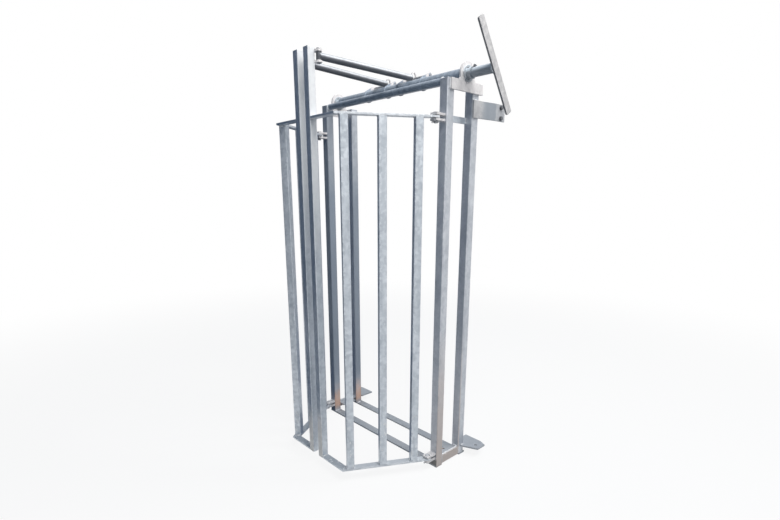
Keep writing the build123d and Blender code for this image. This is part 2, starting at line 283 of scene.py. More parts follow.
def open_outline(points):
    """A bmesh with one run of edges through the points."""
    shape = bmesh.new()
    corners = [shape.verts.new(point) for point in points]
    for first, second in zip(corners, corners[1:]):
        shape.edges.new((first, second))
    return shape


def reflected_shade(name, outline, azimuths, middle=(0, 0, 0)):
    """Spins an outline of (reach, height) points between two azimuths round an upright axis."""
    start, end = (math.radians(azimuth) for azimuth in azimuths)
    stand = Matrix.Translation(middle) @ Matrix.Rotation(start, 4, "Z")
    shape = open_outline([stand @ Vector((reach, 0, height)) for reach, height in outline])
    bmesh.ops.spin(shape, geom=shape.verts[:] + shape.edges[:], axis=(0, 0, 1), cent=middle,
                   angle=end - start, steps=card_steps)
    card = new_object(name, shape, card_material)
    card.visible_camera = card.visible_diffuse = card.visible_shadow = card.visible_transmission = False


print("shade", [round(part, 3) for part in card_shader.inputs["Base Color"].default_value])

# %% Cards and cloths
card_reach, card_height, cloth_height = 3.4, 4.0, 0.004
card_azimuths = {"left_card": (152, 268), "back_card": (92, 120)}
for name, azimuths in card_azimuths.items():
    reflected_shade(name, [(card_reach, cloth_height), (card_reach, card_height)], azimuths)

cloth_middle = (0.45, 0, 0)
cloth_starts = {"back_cloth": 0.88, "left_cloth": 0.02, "front_cloth": 1.25}
cloth_azimuths = {"back_cloth": (95, 176), "left_cloth": (176, 212), "front_cloth": (212, 227)}
for name, start in cloth_starts.items():
    flat = [(start, cloth_height), (card_reach, cloth_height)]
    reflected_shade(name, flat, cloth_azimuths[name], cloth_middle)

# %% [markdown]
# ## Hot-dip zinc
# Steel dipped in molten zinc dries to a dull grey skin of flat crystals, called spangle, with cloudy
# patches, runs that follow the drip, and small bright drops of zinc. The skin is half matt and half
# mirror, so the crystals differ in shade, in gloss and in how metallic they are. A flat grey would look
# painted, so Voronoi cells give the crystals and noise at three sizes gives clouds, patches and grain.
# Stretched noise gives the runs. Stains, and painted light and shade, are laid over it one by one: each
# gives a cover and a colour, and the cover also takes the metal's shine away.

# %% Zinc measures
crystal_scale, cloud_scale, patch_scale, grain_scale = 85.0, 5.5, 26.0, 420.0
crook_scale, crook_reach = 40.0, 0.012
run_stretch, run_detail, cloud_detail, patch_detail = (38, 38, 2.4), 3.0, 4.0, 3.0
crystal_share, cloud_share, patch_share, run_share, tone_span = 0.22, 0.55, 0.4, 0.45, (0.45, 1.2)
drop_scale, drop_span, drop_cover, drop_colour = 130.0, (0.22, 0.1), 0.7, (0.86, 0.88, 0.9, 1)
drop_field_scale, drop_field_span = 9.0, (0.58, 0.66)
crystal_metal, least_metal = 0.8, 0.6
crystal_rough, patch_rough, mean_rough = 0.14, 0.12, 0.12
crystal_rise, patch_rise, grain_rise, relief_depth = 0.25, 0.5, 0.4, 0.001
print("crystals about", round(1000 / crystal_scale), "mm across")


# %% Zinc finish
def zinc(name, light, dark, roughness, metal, relief=0.1, stains_and_painted_light=()):
    """A galvanised finish between two greys, with stains and painted light and shade laid over it."""
    material, shader, place = new_material(name)
    crook = place.node("ShaderNodeTexNoise", {}, {"Vector": place, "Scale": crook_scale}, "Color")
    crook = place.node("ShaderNodeVectorMath", {"operation": "SCALE"}, {0: crook, "Scale": crook_reach})
    crooked = place.node("ShaderNodeVectorMath", {"operation": "ADD"}, {0: place, 1: crook})
    cells = place.node("ShaderNodeTexVoronoi", {}, {"Vector": crooked, "Scale": crystal_scale}, "Color")
    crystal = cells.part("X")
    cloud = place.noise(cloud_scale, cloud_detail)
    patch = place.noise(patch_scale, patch_detail)
    runs = place.stretched(run_stretch).noise(1.0, run_detail)
    grain = place.noise(grain_scale)
    tone = crystal * crystal_share + cloud * cloud_share + patch * patch_share + runs * run_share
    shade = tone.between(*tone_span).blend(dark, light)
    drops = place.node("ShaderNodeTexVoronoi", {}, {"Vector": place, "Scale": drop_scale})
    drops = drops.between(*drop_span) * place.noise(drop_field_scale).between(*drop_field_span)
    shade = (drops * drop_cover).blend(shade, drop_colour)
    bare_metal = crystal * (metal * crystal_metal) + metal * least_metal
    for stain_and_painted_light in stains_and_painted_light:
        cover, colour = stain_and_painted_light(place, cloud, patch)
        shade = cover.blend(shade, colour)
        bare_metal = bare_metal * (1 - cover)
    feed(shade, shader.inputs["Base Color"])
    dullness = crystal * crystal_rough + patch * patch_rough + (roughness - mean_rough)
    feed(dullness, shader.inputs["Roughness"])
    feed(bare_metal, shader.inputs["Metallic"])
    height = crystal * crystal_rise + patch * patch_rise + grain * grain_rise + drops
    bump_sockets = {"Strength": relief, "Distance": relief_depth, "Height": height}
    feed(place.node("ShaderNodeBump", {}, bump_sockets), shader.inputs["Normal"])
    return material


print("zinc finish ready")

# %% [markdown]
# ## Stains and painted shade by the ground
# Under the right front post's hinge a dark brown is painted as shade on its front face near the floor.
# Ground leaves its marks on the lowest steel. Splashed soil dries to a warm film on the handle's side,
# dirt settles on what faces up, pale flecks dry on the bars, and where water has stood against the left
# posts an orange-brown bloom creeps up the zinc. These could be painted by hand on a map. Masks made of
# height, facing and the zinc's own noise need no map, and they keep their ragged edges from every side.
# All places are in metres, and a pair gives where a stain begins and where it is full.

# %% Stains and painted shade by the ground
# The dark brown is painted shade under the right front post's hinge.
warm_film, warm_grey, hinge_shade_brown = (0.75, 0.63, 0.565, 1), (0.74, 0.62, 0.48, 1), (0.13, 0.11, 0.09, 1)
orange_bloom, settled_dirt = (1.0, 0.52, 0.29, 1), (0.33, 0.36, 0.40, 1)
# The near-white is pale flecks on the bars and painted light on the upper neck tubes.
fleck_and_light_white, fleck_stretch, fleck_detail = (0.95, 0.945, 0.94, 1), (1, 1, 0.6), 3.0
right_half, right_posts, left_feet, handle_side = (-0.3, 0.3), (0.3, 0.4), (-0.35, -0.42), (-0.2, 0.6)


def facing(place, axis):
    """How far the surface faces along an axis, from -1 to 1."""
    return place.node("ShaderNodeNewGeometry", {}, {}, "Normal").part(axis)


def soil_film(place, cloud, patch, heights=(0.7, -0.2), depths=(0.185, 0.165), ragged=0.5, most=0.8):
    """Soil splashed on the handle's side of the right front post and of the strap behind it."""
    low = (place.part("Z") - cloud * ragged).between(*heights) * place.part("Y").between(*depths)
    right = place.part("X").between(*right_half) * facing(place, "X").between(*handle_side)
    return low * right * most, warm_film


def left_feet_bloom(place, cloud, patch, heights=(0.12, -0.06), clear_foot=(0.0, 0.06), most=0.62,
                    patch_ragged=0.12, cloud_ragged=0.1):
    """Rust bloom on the handle's side of the left posts and straps."""
    height = place.part("Z")
    ragged_height = height - patch * patch_ragged - cloud * cloud_ragged
    rise = ragged_height.between(*heights) * height.between(*clear_foot)
    left = place.part("X").between(*left_feet) * facing(place, "X").between(*handle_side)
    return rise * left * most, orange_bloom


def shaded_foot(place, cloud, patch, heights=(0.05, 0.03), front=(-0.5, -0.8), ragged=0.02, most=0.75):
    """Painted shade under the hinge of the right front post, dark brown on its front face near the floor.
    """
    low = (place.part("Z") - patch * ragged).between(*heights) * place.part("X").between(*right_posts)
    return low * facing(place, "Y").between(*front) * most, hinge_shade_brown


def dirt_on_top(place, cloud, patch, heights=(0.3, 0.02), upward=(0.6, 0.95), ragged=0.1, most=0.6):
    """Dirt that settles on what faces up near the ground."""
    low = (place.part("Z") - patch * ragged).between(*heights)
    return low * facing(place, "Z").between(*upward) * most, settled_dirt


def film_in_front(place, cloud, patch, heights=(0.36, 0.16), front=(-0.4, -0.8), ragged=0.1, most=0.3):
    """A thin warm film on the front of the neck tubes' lower ends."""
    low = (place.part("Z") - cloud * ragged).between(*heights)
    return low * facing(place, "Y").between(*front) * most, warm_grey


def splashes(place, cloud, patch, heights=(0.55, 0.2), fleck_scale=55.0, flecked=(0.6, 0.7), most=0.65):
    """Pale flecks, a little longer than wide, on the lower ends of the bars."""
    flecks = place.stretched(fleck_stretch).noise(fleck_scale, fleck_detail).between(*flecked)
    return place.part("Z").between(*heights) * flecks * most, fleck_and_light_white


print("ground stains ready")

# %% [markdown]
# ## Painted light and shade on the sides
# Some tones here are painted where light and shade fall. The left posts carry a painted dark reflection,
# the upper neck tubes painted light on the handle's side, and the front edge of the handle painted shade.
# The bracket is a darker blue towards its free end, less so near its tip. The masks are made as before,
# from a place and a facing.

# %% Painted light and shade on the sides
# The slate blue and, on the left front post, the darker blue are painted dark reflection; the near-black
# grey is painted shade.
darker_blue, reflection_slate_blue, painted_shade_grey = (0.27, 0.31, 0.36, 1), (0.28, 0.33, 0.405, 1), (0.07, 0.075, 0.09, 1)
left_posts = (-0.3, -0.4)


def left_front_post_dark_reflection(place, cloud, patch, heights=(0.2, 0.6), depths=(0.12, 0.08), ragged=0.02, most=0.5):
    """Painted dark reflection on the left front post, all round, except at its foot."""
    front = place.part("Y").between(*depths) * place.part("Z").between(*heights)
    return (place.part("X") + cloud * ragged).between(*left_posts) * front * most, darker_blue


def left_posts_dark_reflection(place, cloud, patch, foot=(0.18, 0.4), head=(1.6, 1.85), lost=0.75, side=(0.2, 0.7),
                     ragged=0.2, most=0.8):
    """Painted dark reflection in slate blue on the left posts' sides towards the handle, most of it lost at
    their heads.
    """
    height = place.part("Z") + cloud * ragged
    middle = height.between(*foot) * (1 - height.between(*head) * lost)
    left = place.part("X").between(*left_posts) * facing(place, "X").between(*side)
    return left * middle * most, reflection_slate_blue


def darker_bracket_end(place, cloud, patch, begins=(0.235, 0.30), ends=(0.355, 0.37), ragged=0.04, most=0.75,
             lost=0.4):
    """A darker blue along the bracket towards its free end, weaker near its tip."""
    reach = place.part("Y") + patch * ragged
    return reach.between(*begins) * (most - reach.between(*ends) * lost), darker_blue


def lit_side_painted_light(place, cloud, patch, heights=(1.2, 1.9), side=(0.4, 0.8), ragged=0.4, most=0.75):
    """Painted light on the handle's side of the upper neck tubes."""
    high = (place.part("Z") + cloud * ragged).between(*heights)
    return high * facing(place, "X").between(*side) * most, fleck_and_light_white


def handle_edge_painted_shade(place, cloud, patch, front=(-0.5, -0.75), most=0.5):
    """Painted shade on the handle's front edge."""
    return facing(place, "Y").between(*front) * most, painted_shade_grey


print("side stains ready")

# %% [markdown]
# ## Round steel
# The shaft, the hubs and the link pipes are bright above and dark below. The upper sides of the hubs and
# the stub are a painted sky reflection, the undersides of the link pipes painted shade, and the stub by the
# handle is painted a lighter grey against the handle's shadow. The crank plates take the shaft's blue where
# they lie against it. Light alone shades round steel too evenly, so the two sides have their light and
# shade painted in.

# %% Round steel light and shade
# The pale blue is painted sky reflection and the plain grey painted light on the stub; the last blue is the
# shaft's.
painted_sky_pale, stub_light_grey, shaft_blue = (0.84, 0.92, 0.99, 1), (0.55, 0.57, 0.59, 1), (0.33, 0.39, 0.47, 1)


def upper_side_painted_sky(place, cloud, patch, upward=(0.0, 0.3), ragged=0.1, most=0.85):
    """Painted sky reflection on the upper side."""
    return (facing(place, "Z") + patch * ragged).between(*upward) * most, painted_sky_pale


def underside_painted_shade(place, cloud, patch, downward=(0.3, -0.15), ragged=0.1, most=0.85):
    """Painted shade on the underside."""
    return (facing(place, "Z") + patch * ragged).between(*downward) * most, painted_shade_grey


def stub_painted_light(place, cloud, patch, stub=(0.55, 0.57), ragged=0.02, most=0.8):
    """Painted light on the stub by the handle, a lighter grey against the handle's shadow."""
    return (place.part("X") + patch * ragged).between(*stub) * most, stub_light_grey


def stub_painted_sky(place, cloud, patch, stub=(0.55, 0.56)):
    """The painted sky reflection on the stub's upper side alone."""
    cover, colour = upper_side_painted_sky(place, cloud, patch)
    return cover * place.part("X").between(*stub), colour


def shaft_side(place, cloud, patch, depths=(0.142, 0.125), ragged=0.01, most=0.95):
    """The crank plates' ends round the shaft."""
    return (place.part("Y") + patch * ragged).between(*depths) * most, shaft_blue


print("round steel stains ready")

# %% [markdown]
# ## The finishes
# Every batch of steel comes out of the zinc bath a little different, so each kind of piece has a finish
# of its own: two greys, how rough and how metallic the skin is, and the stains and painted light and shade
# that it bears. One grey for all would be less work, but the gate's pieces are told apart by these small
# steps. Bolts are darker, plain steel, and the front eyes take the same dark steel as painted shade between
# their lugs. The shaft's dark blue zinc is in part painted shade for the lower sides of the shaft and beam.

# %% Tube and flat finishes
wing_greys = (0.73, 0.775, 0.825, 1), (0.52, 0.57, 0.625, 1)
pale_greys = (0.88, 0.855, 0.85, 1), (0.70, 0.675, 0.675, 1)
post_zinc = zinc("post_zinc", (0.67, 0.695, 0.735, 1), (0.46, 0.49, 0.54, 1), roughness=0.38, metal=0.6,
                 stains_and_painted_light=(left_front_post_dark_reflection, left_posts_dark_reflection, soil_film, left_feet_bloom, shaded_foot))
wing_zinc = zinc("wing_zinc", *wing_greys, roughness=0.36, metal=0.56, relief=0.07,
                 stains_and_painted_light=(dirt_on_top, splashes))
tube_zinc = zinc("tube_zinc", *wing_greys, roughness=0.36, metal=0.56, relief=0.07,
                 stains_and_painted_light=(lit_side_painted_light, film_in_front))
plate_zinc = zinc("plate_zinc", (0.69, 0.68, 0.68, 1), (0.49, 0.485, 0.49, 1), roughness=0.48, metal=0.42,
                  stains_and_painted_light=(handle_edge_painted_shade,))
pale_zinc = zinc("pale_zinc", *pale_greys, roughness=0.5, metal=0.3)
rail_zinc = zinc("rail_zinc", (0.86, 0.885, 0.915, 1), (0.66, 0.70, 0.745, 1), roughness=0.4, metal=0.4,
                 relief=0.07, stains_and_painted_light=(dirt_on_top,))
ground_zinc = zinc("ground_zinc", (0.57, 0.593, 0.63, 1), (0.395, 0.414, 0.447, 1), roughness=0.52,
                   metal=0.18, stains_and_painted_light=(soil_film, dirt_on_top))
strap_zinc = zinc("strap_zinc", (0.68, 0.67, 0.66, 1), (0.47, 0.47, 0.48, 1), roughness=0.46, metal=0.4,
                  stains_and_painted_light=(soil_film, left_feet_bloom))
bracket_zinc = zinc("bracket_zinc", (0.68, 0.675, 0.68, 1), (0.47, 0.47, 0.48, 1), roughness=0.44,
                    metal=0.4, stains_and_painted_light=(darker_bracket_end,))
print("flat finishes", [m.name for m in bpy.data.materials if m.name.endswith("zinc")])

# %% Round, weld and bolt finishes
pipe_zinc = zinc("pipe_zinc", (0.57, 0.59, 0.62, 1), (0.39, 0.41, 0.44, 1), roughness=0.4, metal=0.2,
                 stains_and_painted_light=(underside_painted_shade,))
# Its dark blue greys are the shaft's zinc and in part painted shade for the lower sides of the shaft and
# beam.
shaft_zinc = zinc("shaft_zinc", (0.43, 0.50, 0.59, 1), (0.22, 0.27, 0.335, 1), roughness=0.38, metal=0.15,
                  stains_and_painted_light=(stub_painted_light, stub_painted_sky))
hub_zinc = zinc("hub_zinc", (0.50, 0.53, 0.56, 1), (0.36, 0.39, 0.42, 1), roughness=0.42, metal=0.2,
                stains_and_painted_light=(upper_side_painted_sky,))
crank_zinc = zinc("crank_zinc", *pale_greys, roughness=0.5, metal=0.3, stains_and_painted_light=(shaft_side,))
weld_zinc = zinc("weld_zinc", (0.86, 0.87, 0.88, 1), (0.60, 0.61, 0.63, 1), roughness=0.4, metal=0.25,
                 relief=0.5)
bolt_zinc = zinc("bolt_zinc", (0.52, 0.53, 0.55, 1), (0.27, 0.28, 0.30, 1), roughness=0.36, metal=0.45)
eye_shade_and_dark_steel = zinc("eye_shade_and_dark_steel", (0.20, 0.21, 0.23, 1), (0.07, 0.075, 0.085, 1), roughness=0.42, metal=0.4)
print("all finishes", sorted(m.name for m in bpy.data.materials if m.name.endswith(("zinc", "steel"))))

# %% [markdown]
# ## Rounded steel
# Rolled flats, square tubes and plates never have knife edges, and a hot zinc bath rounds them further. A
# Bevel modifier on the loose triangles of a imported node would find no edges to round. So each node is
# copied, its doubles are merged, its flat faces are made whole, and its sharp edges are bevelled. The
# copy then stands for the node.

# %% Rounding tools
mm = 0.001
sharp_turn, flat_turn = math.radians(38), math.radians(0.5)
merge_distance, round_segments = 0.01 * mm, 2


def add_piece(shape, name, body, material):
    """Turns a bmesh into a smooth-shaded piece that rides on a body."""
    for face in shape.faces:
        face.smooth = True
    for edge in shape.edges:
        edge.smooth = not edge.is_manifold or edge.calc_face_angle() < sharp_turn
    piece = new_object(name, shape, material)
    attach(piece, body)
    return piece


def rounded_steel(node, edge_round, material):
    """A copy of a node with eased edges, which replaces the node."""
    shape = bmesh.new()
    shape.from_mesh(nodes[node].data)
    bmesh.ops.remove_doubles(shape, verts=shape.verts, dist=merge_distance)
    bmesh.ops.dissolve_limit(shape, angle_limit=flat_turn, verts=shape.verts, edges=shape.edges)
    sharp = [e for e in shape.edges if e.is_manifold and e.calc_face_angle() > sharp_turn]
    bmesh.ops.bevel(shape, geom=sharp, offset=edge_round, offset_type="OFFSET", segments=round_segments,
                    profile=0.5, affect="EDGES", material=-1, clamp_overlap=True)
    piece = add_piece(shape, f"{node}_dipped", nodes[node]["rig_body"], material)
    flat = piece.modifiers.new("flat_faces", "WEIGHTED_NORMAL")
    flat.keep_sharp = True
    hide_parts(node)


print("edges over", round(math.degrees(sharp_turn)), "degrees are rounded")

# %% Rounded copies of the steelwork
tube_edge, flat_edge, pipe_edge = 1.2 * mm, 1.0 * mm, 0.8 * mm
# The front eyes take the dark steel as painted shade between their lugs.
edges_and_finishes = [
    ("post", tube_edge, post_zinc), ("tall_tube", tube_edge, tube_zinc),
    ("wing_bars", tube_edge, wing_zinc), ("rail", flat_edge, rail_zinc), ("return", flat_edge, wing_zinc),
    ("pipe", pipe_edge, pipe_zinc), ("shaft", pipe_edge, shaft_zinc), ("beam", pipe_edge, shaft_zinc),
    ("rear_eye", pipe_edge, pale_zinc), ("hub", flat_edge, hub_zinc), ("front_eye", pipe_edge, eye_shade_and_dark_steel),
    ("rods", pipe_edge, bolt_zinc), ("base_straps", flat_edge, strap_zinc),
    ("top_plate", flat_edge, pale_zinc), ("lugs", flat_edge, pale_zinc),
    ("mid_strap", flat_edge, wing_zinc), ("crank_plates", flat_edge, crank_zinc),
    ("bracket", flat_edge, bracket_zinc), ("floor_bar", flat_edge, ground_zinc),
    ("base_plates", flat_edge, ground_zinc), ("foot_plate", flat_edge, ground_zinc),
    ("handle_bar", flat_edge, plate_zinc)]
bolted = {"hinge_pins", "right_link_pin", "left_link_pin"}
for node in sorted(set(nodes) - bolted):
    _, edge_round, material = next(row for row in edges_and_finishes if row[0] in node)
    rounded_steel(node, edge_round, material)
print("rounded", len(nodes) - len(bolted), "nodes")

# %% [markdown]
# ## Weld beads
# The gate's fixed joints are arc welds: raised seams, about as wide as a pencil, with a ripple for each
# pause of the torch. A texture could fake the ripples, but a seam shows in the outline and takes its own
# highlight. So a bead starts as a cylinder whose long edges are subdivided into stations, and each
# station swells or shrinks a little. A bead round a pipe is a small circle, spun, with the same ripple.
# From here on, places are in millimetres.

# %% Rods and places
bead_sides, stations_a_ripple, end_width = 8, 4, 0.4


def join(shape, part):
    """Moves the geometry of part into shape."""
    passing = bpy.data.meshes.new("passing")
    part.to_mesh(passing)
    part.free()
    shape.from_mesh(passing)
    bpy.data.meshes.remove(passing)


def ribbed_rod(length, radius, pitch, swell, taper):
    """A rod along Z that swells once every pitch and thins over the taper at each end."""
    rod = bmesh.new()
    bmesh.ops.create_cone(rod, cap_ends=True, segments=bead_sides, radius1=radius, radius2=radius,
                          depth=length)
    runs = [e for e in rod.edges if abs(e.verts[0].co.z - e.verts[1].co.z) > length / 2]
    bmesh.ops.subdivide_edges(rod, edges=runs, cuts=round(length / pitch * stations_a_ripple))
    for vert in rod.verts:
        fullness = min(1, end_width + (1 - end_width) * (length / 2 - abs(vert.co.z)) / taper)
        swelling = fullness * (1 + swell * math.cos(math.tau * vert.co.z / pitch))
        vert.co.x *= swelling
        vert.co.y *= swelling
    return rod


def toward(place, direction):
    """The matrix that takes the Z axis to a direction at a place."""
    return Matrix.Translation(place) @ Vector(direction).to_track_quat("Z", "Y").to_matrix().to_4x4()


print("stations a ripple", stations_a_ripple)

# %% Bead tools
bead_pitch, bead_swell = 4.6 * mm, 0.17
bead_radius, thin_radius = 3.8 * mm, 2.6 * mm


def straight_bead(shape, start, end, radius=bead_radius):
    """A seam from one place to another."""
    start, end = Vector(start) * mm, Vector(end) * mm
    rod = ribbed_rod((end - start).length, radius, bead_pitch, bead_swell, 2 * radius)
    bmesh.ops.transform(rod, matrix=toward((start + end) / 2, end - start), verts=rod.verts)
    join(shape, rod)


def ring_bead(shape, place, direction, ring_radius, radius=bead_radius):
    """A seam round an axis that passes through a place."""
    ring_radius, ring = ring_radius * mm, bmesh.new()
    stand = Matrix.Translation((ring_radius, 0, 0)) @ Matrix.Rotation(math.radians(90), 4, "X")
    bmesh.ops.create_circle(ring, segments=bead_sides, radius=radius, matrix=stand)
    ripples = round(math.tau * ring_radius / bead_pitch)
    bmesh.ops.spin(ring, geom=ring.verts[:] + ring.edges[:], axis=(0, 0, 1), cent=(0, 0, 0), angle=math.tau,
                   steps=ripples * stations_a_ripple, use_merge=True)
    bmesh.ops.remove_doubles(ring, verts=ring.verts, dist=merge_distance)
    bmesh.ops.recalc_face_normals(ring, faces=ring.faces)
    for vert in ring.verts:
        middle = Vector((vert.co.x, vert.co.y, 0)).normalized() * ring_radius
        angle = math.atan2(vert.co.y, vert.co.x)
        vert.co = middle + (vert.co - middle) * (1 + bead_swell * math.cos(ripples * angle))
    bmesh.ops.transform(ring, matrix=toward(Vector(place) * mm, direction), verts=ring.verts)
    join(shape, ring)


print("a bead ripples every", round(bead_pitch / mm, 1), "mm")

# %% [markdown]
# ## Welds of the frame
# The seams run where the plates, straps and lugs meet the posts, so their places are read from the packed
# pieces' own boxes. Most stop a little short of an edge, by one of a few named steps. The left side is a
# mirror of the right.

# %% Places of the frame
def box_mm(node):
    """A node's lowest and highest corners in millimetres."""
    return [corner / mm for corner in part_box(node)]


joint_places = {joint["name"]: Vector(joint["pos_m"]) / mm for joint in frame["joints"]}
pin_x, pin_y, _ = joint_places["right_wing_swing"]
post_in, post_front, _ = box_mm("right_front_post")[0]
post_out, post_back, post_top = box_mm("right_front_post")[1]
rear_front, rear_back = (corner.y for corner in box_mm("right_rear_post"))
_, top_plate_front, top_plate_low = box_mm("right_top_plate")[0]
floor_top, plate_top = box_mm("front_floor_bar")[1].z, box_mm("base_plates")[1].z
rear_bar_front = box_mm("rear_floor_bar")[0].y
beam_low, beam_high = box_mm("top_beam")
beam_z, beam_radius = (beam_low.z + beam_high.z) / 2, (beam_high.z - beam_low.z) / 2
strap_low, strap_high = box_mm("right_mid_strap")
bracket_low, bracket_high = box_mm("side_bracket")
print("posts from", round(post_in), "to", round(post_out), "mm, tops at", round(post_top), "mm")

# %% Frame welds
tight, near, clear, tucked, foot_seam = 1, 2, 3, 8, 25
strap_thickness, strap_sink, pipe_gap = 10, 1.5, 0.5
lug_lows, lug_thickness, lug_seam = (51, 77, 1868, 1894), 10, 18
sides = {"right": 1, "left": -1}

frame_welds = bmesh.new()
for side in sides.values():
    inner, outer, seam = side * post_in, side * post_out, side * (post_out - strap_thickness)
    floor_runs = [
        ((inner, post_front + clear, floor_top), (inner, post_back - clear, floor_top)),
        ((inner, rear_bar_front + near, floor_top), (inner, rear_back - clear, floor_top)),
        ((inner + side * clear, rear_back, floor_top), (outer - side * clear, rear_back, floor_top))]
    top_runs = [
        ((outer, top_plate_front, top_plate_low), (outer, post_back - near, top_plate_low)),
        ((outer, rear_front + near, top_plate_low), (outer, rear_back - near, top_plate_low)),
        ((outer, top_plate_front, top_plate_low), (outer, top_plate_front, post_top - near)),
        ((outer, rear_back, top_plate_low + clear), (outer, rear_back, post_top - clear))]
    plate_runs = [
        ((seam, post_back + near, plate_top), (seam, rear_front - near, plate_top)),
        ((inner + side * near, post_back, plate_top), (seam, post_back, plate_top)),
        ((inner + side * tucked, rear_front, plate_top), (seam, rear_front, plate_top)),
        ((inner + side * near, rear_back, plate_top), (outer - side * near, rear_back, plate_top)),
        ((outer, rear_back - foot_seam, plate_top), (outer, rear_back - tight, plate_top))]
    for start, end in floor_runs + top_runs + plate_runs:
        straight_bead(frame_welds, start, end)
    strap_x = outer - side * strap_sink
    for y in (post_back, rear_front):
        straight_bead(frame_welds, (strap_x, y, floor_top + clear), (strap_x, y, plate_top - near),
                      thin_radius)
    lug_start, lug_end = side * (pin_x - lug_seam), side * (pin_x + lug_seam)
    for low in lug_lows:
        for level in (low, low + lug_thickness):
            straight_bead(frame_welds, (lug_start, post_front, level), (lug_end, post_front, level),
                          thin_radius)
    beam_end = (side * (post_in - tight), 0, beam_z)
    ring_bead(frame_welds, beam_end, (1, 0, 0), beam_radius + pipe_gap, thin_radius)
for y in (post_back, rear_front):
    straight_bead(frame_welds, (strap_high.x, y, strap_low.z + near),
                  (strap_high.x, y, strap_high.z - near), thin_radius)
for level in (bracket_low.z, bracket_high.z):
    straight_bead(frame_welds, (post_out, rear_front + near, level), (post_out, rear_back - near, level))
add_piece(frame_welds, "frame_welds", "frame", weld_zinc)
print("frame welds", len(bpy.data.meshes["frame_welds"].polygons), "faces")

# %% [markdown]
# ## Welds of the wings
# Each wing's bars stand on the lower rail and carry the upper one, with a seam across each side of a
# bar's end. The returns butt against the tall tubes, and the rails meet the returns in a mitre. A wing
# runs at a slant, so a small function gives its points from how far they are along the rail and how deep
# behind its front edge.

# %% Places of the wings
wing_slant, mitre_slant = math.radians(60), math.radians(30)
wing_way = Vector((math.cos(wing_slant), math.sin(wing_slant)))
out_way = Vector((math.sin(wing_slant), -math.cos(wing_slant)))
bar_starts, bar_width, rail_width, seam_lift = (26, 207, 385), 40, 40, 0.2
mitre_run = rail_width * math.tan(mitre_slant)
rail_low, rail_high = box_mm("right_top_rail")
corner = Vector((rail_low.x + mitre_run, rail_low.y))
lower_top = box_mm("right_bottom_rail")[1].z + seam_lift
upper_low, upper_top = rail_low.z - seam_lift, rail_high.z - seam_lift
tube_low, tube_high = box_mm("right_tall_tube")
link_lug_low, link_lug_high = box_mm("right_link_lugs")


def on_wing(side, run, inward, height):
    """A point of a wing, from its run along the rail and its depth behind the rail's front edge."""
    flat = corner + run * wing_way - inward * out_way
    return side * flat.x, flat.y, height


print("wing corner", [round(v, 1) for v in corner], "mm")

# %% Wing welds
mitre_inset, mitre_sink = 1.5, 1.2
link_lug_levels = (link_lug_low.z, link_lug_low.z + lug_thickness, link_lug_high.z - lug_thickness,
                   link_lug_high.z)
for word, side in sides.items():
    wing_welds = bmesh.new()
    for start in bar_starts:
        for run in (start, start + bar_width):
            for height in (lower_top, upper_low):
                straight_bead(wing_welds, on_wing(side, run, near, height),
                              on_wing(side, run, rail_width - near, height))
    tube_side = side * tube_high.x
    for height in (lower_top, upper_low, upper_top):
        straight_bead(wing_welds, (tube_side, tube_low.y + near, height),
                      (tube_side, tube_high.y - near, height))
    for height in (lower_top - mitre_sink, upper_top - mitre_sink):
        straight_bead(wing_welds, on_wing(side, tight, mitre_inset, height),
                      on_wing(side, mitre_run - tight, rail_width - mitre_inset, height), thin_radius)
    lug_start, lug_end = side * (link_lug_low.x + near), side * (tube_high.x - 2 * near)
    for height in link_lug_levels:
        straight_bead(wing_welds, (lug_start, tube_high.y, height), (lug_end, tube_high.y, height),
                      thin_radius)
    add_piece(wing_welds, f"{word}_wing_welds", f"{word}_wing", weld_zinc)
print("wing welds", len(bpy.data.meshes["right_wing_welds"].polygons), "faces")

# %% [markdown]
# ## Welds of the links and the lever
# A ring bead joins each link's pipe to its slotted rear eye. On the lever, rings hold the crank plates to
# the shaft, the rods to the plates and the handle to its stub. The lever's beads are as dull as the
# shaft, so they take its finish.

# %% Link welds
link_front, link_rear = joint_places["right_link_swing"], Vector((102, 162.9, 2149))
pipe_run, link_ring = 594.5, 15.8
for word, side in sides.items():
    front, rear = (Vector((side * end.x, end.y, end.z)) for end in (link_front, link_rear))
    link_way = (rear - front).normalized()
    link_welds = bmesh.new()
    ring_bead(link_welds, front + link_way * pipe_run, link_way, link_ring, thin_radius)
    add_piece(link_welds, f"{word}_link_welds", f"{word}_link", weld_zinc)
print("link welds", len(bpy.data.meshes["right_link_welds"].polygons), "faces each")

# %% Lever welds
_, shaft_y, shaft_z = joint_places["lever_turn"]
shaft_low, shaft_high = box_mm("lever_shaft")
rods_low, rods_high = box_mm("crank_rods")
_, rod_y, rod_z = (rods_low + rods_high) / 2
shaft_radius, rod_radius = (shaft_high.z - shaft_low.z) / 2, (rods_high.z - rods_low.z) / 2
stub_radius, inner_crank, outer_crank, crank_half, rod_step = 22.5, 51, 221, 4, 4.4

lever_welds = bmesh.new()
for side in sides.values():
    for crank in (inner_crank, outer_crank):
        for face in (crank - crank_half, crank + crank_half):
            ring_bead(lever_welds, (side * face, shaft_y, shaft_z), (1, 0, 0), shaft_radius + pipe_gap,
                      thin_radius)
    for face in (inner_crank - rod_step, outer_crank + rod_step):
        ring_bead(lever_welds, (side * face, rod_y, rod_z), (1, 0, 0), rod_radius + pipe_gap, thin_radius)
handle_face = box_mm("handle_bar")[0].x
ring_bead(lever_welds, (handle_face - tight, shaft_y, shaft_z), (1, 0, 0), stub_radius + pipe_gap)
add_piece(lever_welds, "lever_welds", "lever", shaft_zinc)
print("lever welds", len(bpy.data.meshes["lever_welds"].polygons), "faces")

